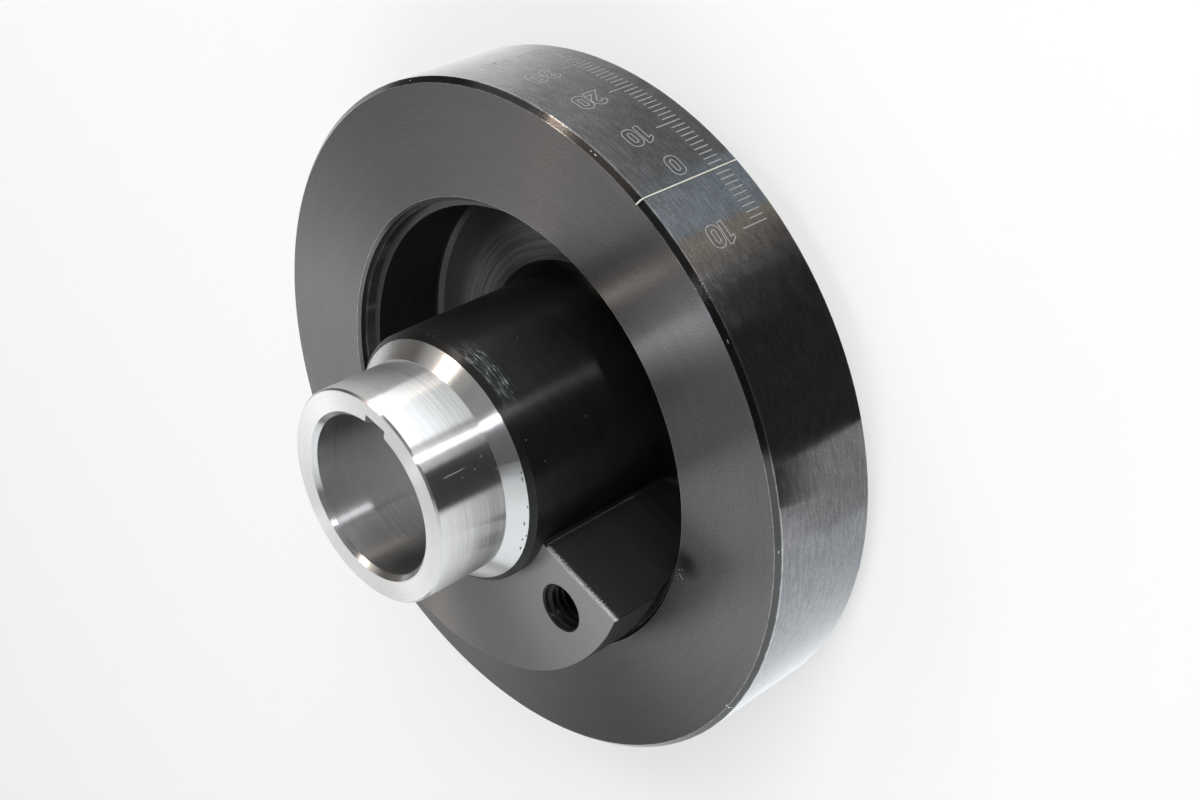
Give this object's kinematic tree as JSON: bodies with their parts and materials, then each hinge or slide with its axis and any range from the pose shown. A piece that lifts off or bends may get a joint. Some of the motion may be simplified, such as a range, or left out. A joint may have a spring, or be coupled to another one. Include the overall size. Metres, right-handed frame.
{
  "type": "harmonic balancer",
  "caption": "Crankshaft torsional damper: a heavy ring with a timing scale, bonded by rubber to a keyed hub with a polished snout and a counterweight.",
  "frame": {"origin": "on the hub's axis, in the front face that the pulley bolts against, which the part rests on", "axes": "+Z runs along the crankshaft from the pulley side up to the engine side, the counterweight points along -Y, and +X completes a right-handed frame"},
  "size_m": [0.165, 0.165, 0.0759],
  "materials": {
    "hub_steel": "black oxide on turned faces, snout and its shoulder ground and polished bright",
    "rubber": "matt black rubber with a rough trimmed edge",
    "ring_iron": "black oxide over fine turning marks, satin faces and a glossier rim"
  },
  "bodies": {
    "root": {"hub": "hub_steel", "elastomer_ring": "rubber", "inertia_ring": "ring_iron"}
  },
  "joints": []
}
